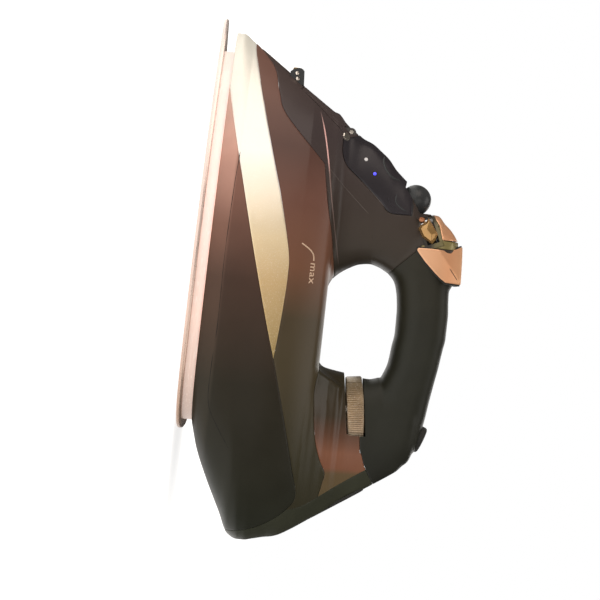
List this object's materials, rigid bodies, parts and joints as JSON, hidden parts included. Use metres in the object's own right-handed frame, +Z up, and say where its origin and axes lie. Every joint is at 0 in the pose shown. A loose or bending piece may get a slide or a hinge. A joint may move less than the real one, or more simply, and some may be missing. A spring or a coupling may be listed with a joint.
{
  "type": "steam clothes iron",
  "caption": "Steam iron with a pointed soleplate, smoked water tank, loop handle, ribbed temperature dial, spray and steam buttons, steam lever, filler lid and swivel cord inlet.",
  "frame": {"origin": "middle of the bounding box, on the underside of the soleplate", "axes": "+X towards the soleplate's tip, +Y to the left side, +Z up from the soleplate"},
  "size_m": [0.308, 0.12, 0.1579],
  "materials": {
    "polished_sole": "satin champagne coated plate",
    "cast_aluminium": "cast aluminium with a satin face",
    "element_steel": "heat-browned tube",
    "steel_fitting": "plain steel",
    "brass_fitting": "plain brass",
    "silicone_red": "silicone rubber",
    "ceramic_cream": "unglazed ceramic",
    "white_sleeve": "woven sleeve",
    "tank_smoke": "smoked brown gloss",
    "skirt_brown": "dark brown satin gloss",
    "gold_satin": "satin champagne gold lacquer",
    "cover_dark": "dark grey-brown gloss",
    "handle_black": "black satin gloss",
    "rose_gold": "rose-gold lacquer",
    "gem_gold": "golden brown metallic lacquer",
    "dial_gold": "champagne lacquer",
    "lens_blue": "clear blue light pipe",
    "board_green": "printed board",
    "rubber_black": "soft black rubber",
    "pump_white": "natural plastic",
    "hose_clear": "translucent silicone hose",
    "button_dark": "dark grey gloss",
    "wire_blue": "insulated wire",
    "wire_red": "insulated wire"
  },
  "bodies": {
    "housing": {"soleplate": "polished_sole", "heater_casting": "cast_aluminium", "heating_element": "element_steel", "element_terminals": "ceramic_cream", "chamber_gasket": "silicone_red", "chamber_cover": "steel_fitting", "thermostat": "ceramic_cream", "thermal_fuse": "white_sleeve", "valve_seat": "brass_fitting", "tank_base": "tank_smoke", "sole_screws": "steel_fitting", "skirt": "skirt_brown", "trim_blade": "gold_satin", "tank_shell": "tank_smoke", "upper_cover": "cover_dark", "control_fascia": "handle_black", "rear_housing": "cover_dark", "heel_cover": "cover_dark", "heel_pads": "rubber_black", "handle_grip": "handle_black", "wing_trim": "rose_gold", "deck_trim": "rose_gold", "filler_funnel": "cover_dark", "lid_hinge_pin": "steel_fitting", "lid_bracket": "cover_dark", "spray_nozzle": "cover_dark", "nozzle_tip": "brass_fitting", "spray_spring": "steel_fitting", "spray_pump": "pump_white", "spray_hose": "hose_clear", "burst_spring": "steel_fitting", "burst_pump": "pump_white", "burst_hose": "hose_clear", "lever_pin": "steel_fitting", "lever_post": "cover_dark", "indicator_lens": "lens_blue", "indicator_board": "board_green", "swivel_retainer": "cover_dark", "terminal_block": "ceramic_cream", "supply_wires": "wire_blue", "heater_wires": "wire_red", "heel_screws": "steel_fitting"},
    "dial": {"temperature_dial": "dial_gold", "dial_cap": "dial_gold", "thermostat_spindle": "steel_fitting"},
    "spray_key": {"spray_button": "button_dark", "spray_plunger": "pump_white"},
    "burst_key": {"burst_button": "button_dark", "burst_plunger": "pump_white"},
    "lever": {"steam_lever": "gem_gold", "lever_grips": "gem_gold"},
    "valve": {"valve_rod": "steel_fitting"},
    "lid": {"filler_lid": "cover_dark", "lid_barrel": "cover_dark", "lid_seal": "rubber_black"},
    "swivel": {"cord_swivel": "rubber_black"}
  },
  "joints": [
    {"name": "dial_turn", "type": "hinge", "parent": "housing", "child": "dial", "pos_m": [-0.071, 0, 0.1036], "axis": [0.1392, 0, 0.9903], "range_deg": [0, 270]},
    {"name": "spray_press", "type": "slide", "parent": "housing", "child": "spray_key", "axis": [-0.7965, 0, -0.6046], "range_m": [0, 0.003], "stiffness_N_per_m": 600, "springref_m": -0.002, "deforming": ["spray_spring"]},
    {"name": "burst_press", "type": "slide", "parent": "housing", "child": "burst_key", "axis": [-0.6428, 0, -0.766], "range_m": [0, 0.004], "stiffness_N_per_m": 600, "springref_m": -0.002, "deforming": ["burst_spring"]},
    {"name": "lever_swing", "type": "hinge", "parent": "housing", "child": "lever", "pos_m": [0.023, 0, 0.1429], "axis": [0.3843, 0, 0.9232], "range_deg": [-10, 10]},
    {"name": "valve_turn", "type": "hinge", "parent": "housing", "child": "valve", "pos_m": [0.026, 0.01, 0.08], "axis": [0, 0, 1], "range_deg": [-20.5, 20.5]},
    {"name": "lid_open", "type": "hinge", "parent": "housing", "child": "lid", "pos_m": [0.094, 0, 0.0832], "axis": [0, -1, 0], "range_deg": [0, 95]},
    {"name": "cord_turn", "type": "hinge", "parent": "housing", "child": "swivel", "pos_m": [-0.083, 0, 0.1415], "axis": [-0.342, 0, 0.9397], "continuous": true}
  ],
  "couplings": [
    {"joint": "valve_turn", "follows": "lever_swing", "ratio": 2}
  ]
}
